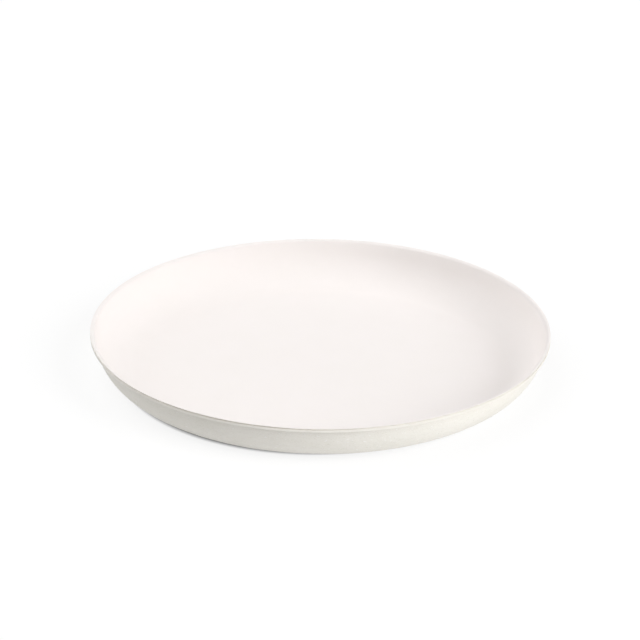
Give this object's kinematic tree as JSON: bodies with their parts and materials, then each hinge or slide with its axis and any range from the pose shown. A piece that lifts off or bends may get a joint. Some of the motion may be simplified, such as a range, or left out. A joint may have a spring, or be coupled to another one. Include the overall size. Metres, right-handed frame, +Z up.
{
  "type": "paper plate",
  "caption": "Shallow round plate moulded from white paper fibre, with a flat base, a curved corner, a side that leans outwards and a thin trimmed rim.",
  "frame": {"origin": "centre of the flat base, on the surface that the plate stands on", "axes": "+Z up along the plate's own axis, out of the dish; the plate is round, so X and Y are alike"},
  "size_m": [0.23, 0.23, 0.022],
  "materials": {
    "fibre": "matte white moulded fibre, smooth inside and faintly rough outside"
  },
  "bodies": {
    "root": {"plate": "fibre"}
  },
  "joints": []
}
